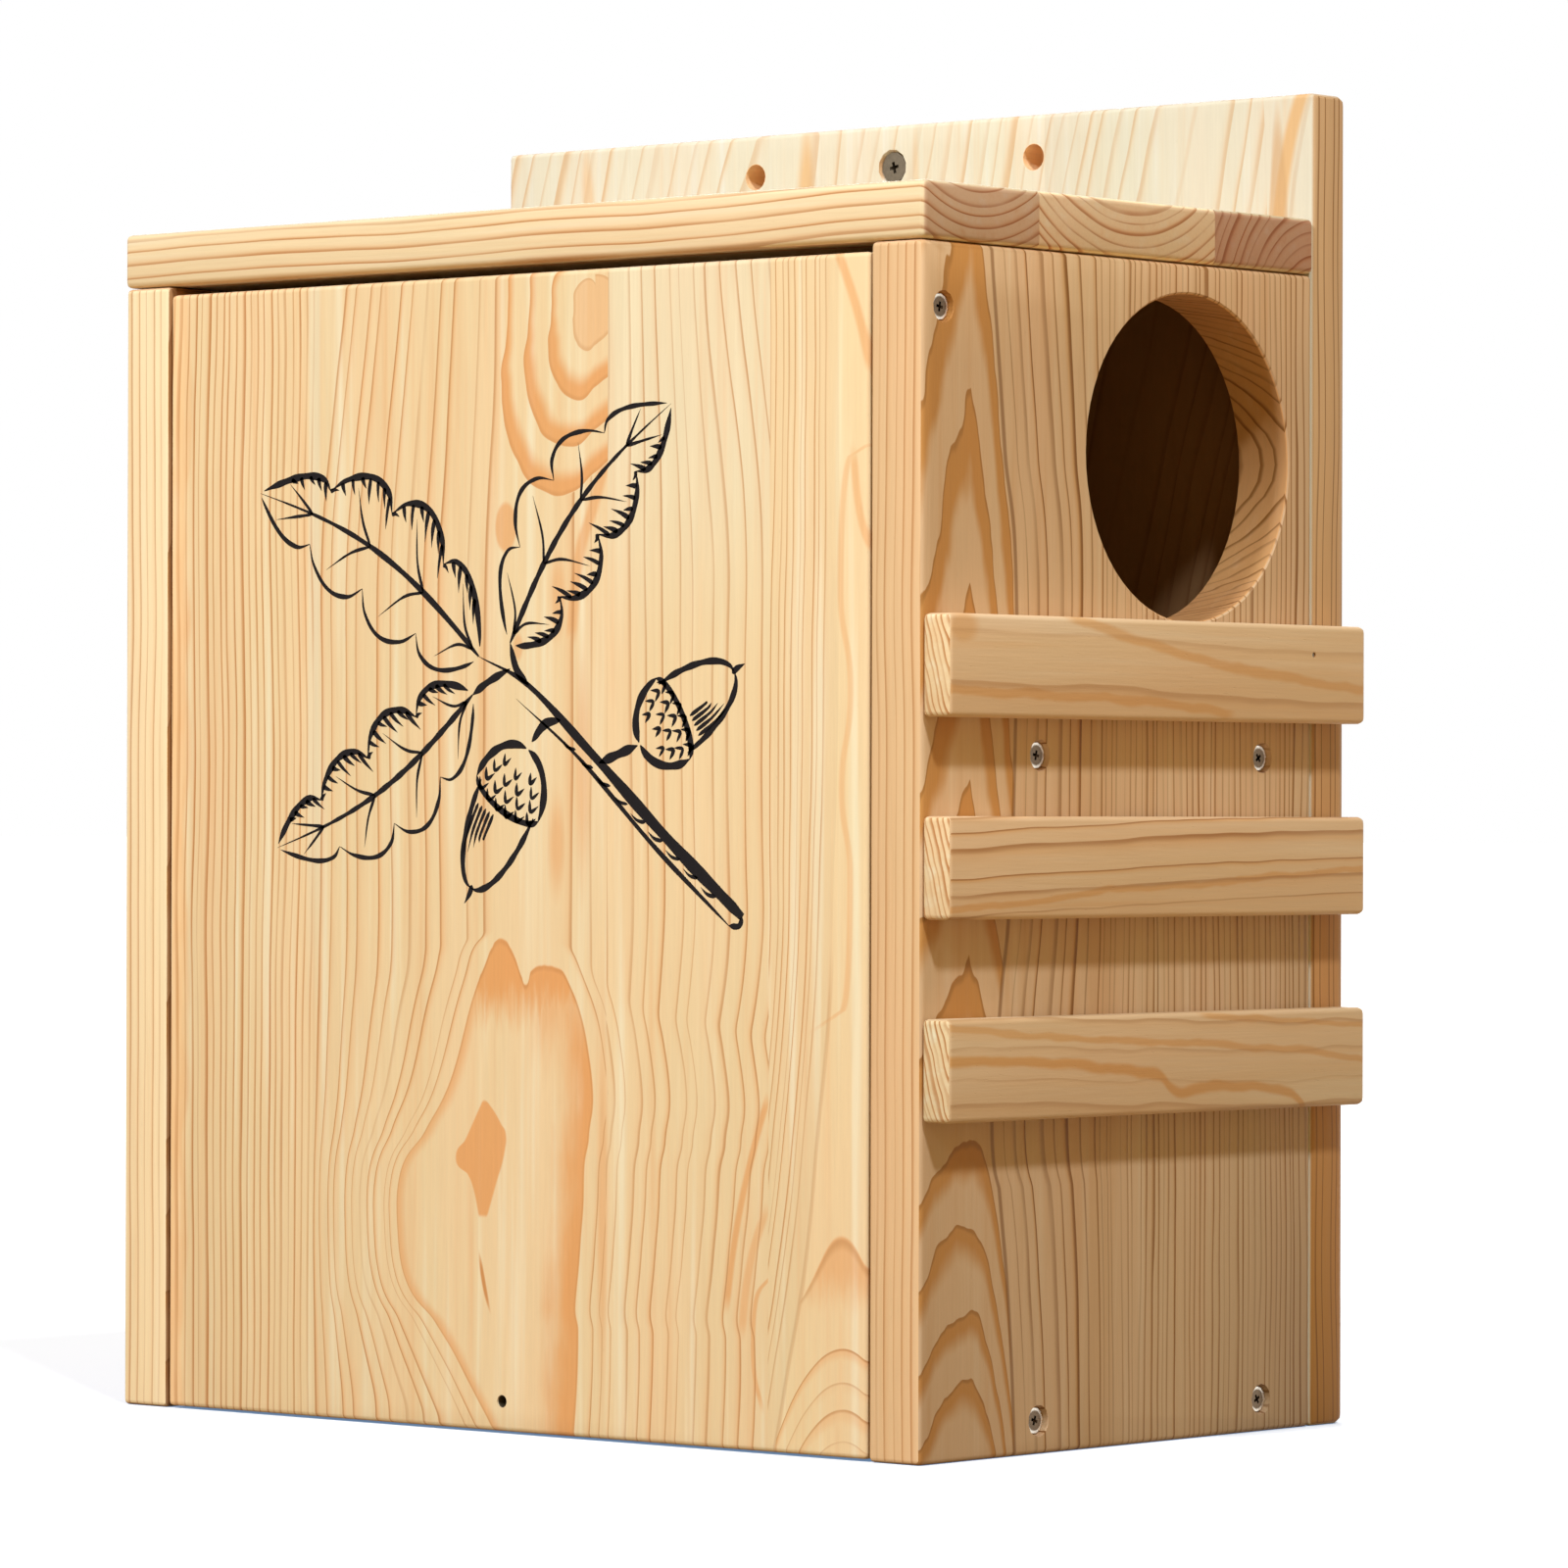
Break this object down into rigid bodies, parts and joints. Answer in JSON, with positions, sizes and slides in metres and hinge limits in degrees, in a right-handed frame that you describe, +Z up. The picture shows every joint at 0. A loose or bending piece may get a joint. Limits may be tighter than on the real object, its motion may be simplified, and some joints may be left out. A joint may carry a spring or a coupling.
{
  "type": "squirrel house",
  "caption": "Pine nest box for squirrels: round side entrance over climbing slats, inner shelf, backboard for hanging, and a front door that swings out on pivot screws near its top.",
  "frame": {"origin": "the middle of the footprint, backboard's depth included, on the underside of the floor", "axes": "+Z up; -Y out of the front door; +Y out of the backboard's rear; +X out of the side with the round entrance"},
  "size_m": [0.2683, 0.1592, 0.3153],
  "materials": {
    "pine_door": "planed cream pine, glued staves, knots, bare or clear-oiled satin",
    "pine_side": "planed pine, upright grain with cathedral figure, satin",
    "pine_lid": "planed pine, long grain to the front, curved growth rings on the ends, satin",
    "pine_back": "planed pale pine, upright grain, satin",
    "pine_inner": "planed bare pine",
    "pine_slat": "planed pine strip, long grain, eased edges, satin",
    "zinc_steel": "yellowish zinc-plated steel",
    "dark_steel": "dull dark steel"
  },
  "bodies": {
    "house": {"left_side": "pine_side", "right_side": "pine_side", "lid": "pine_lid", "backboard": "pine_back", "floor": "pine_inner", "shelf": "pine_inner", "slat_top": "pine_slat", "slat_middle": "pine_slat", "slat_bottom": "pine_slat", "floor_screw_left_front": "zinc_steel", "floor_screw_left_rear": "zinc_steel", "floor_screw_right_front": "zinc_steel", "floor_screw_right_rear": "zinc_steel", "shelf_screw_left_front": "zinc_steel", "shelf_screw_left_rear": "zinc_steel", "shelf_screw_right_front": "zinc_steel", "shelf_screw_right_rear": "zinc_steel", "lid_screw_left_front": "zinc_steel", "lid_screw_left_rear": "zinc_steel", "lid_screw_right_front": "zinc_steel", "lid_screw_right_rear": "zinc_steel", "back_screw_left_1": "zinc_steel", "back_screw_left_2": "zinc_steel", "back_screw_left_3": "zinc_steel", "back_screw_right_1": "zinc_steel", "back_screw_right_2": "zinc_steel", "back_screw_right_3": "zinc_steel", "back_screw_floor_left": "zinc_steel", "back_screw_floor_right": "zinc_steel", "slat_top_screw_front": "zinc_steel", "slat_top_screw_rear": "zinc_steel", "slat_middle_screw_front": "zinc_steel", "slat_middle_screw_rear": "zinc_steel", "slat_bottom_screw_front": "zinc_steel", "slat_bottom_screw_rear": "zinc_steel", "hanging_screw": "dark_steel", "slat_pin": "dark_steel"},
    "door": {"front_door": "pine_door", "pivot_screw_left": "zinc_steel", "pivot_screw_right": "zinc_steel"}
  },
  "joints": [
    {"name": "door_swing", "type": "hinge", "parent": "house", "child": "door", "pos_m": [0, -0.07215, 0.2574], "axis": [-1, 0, 0], "range_deg": [0, 125]}
  ]
}
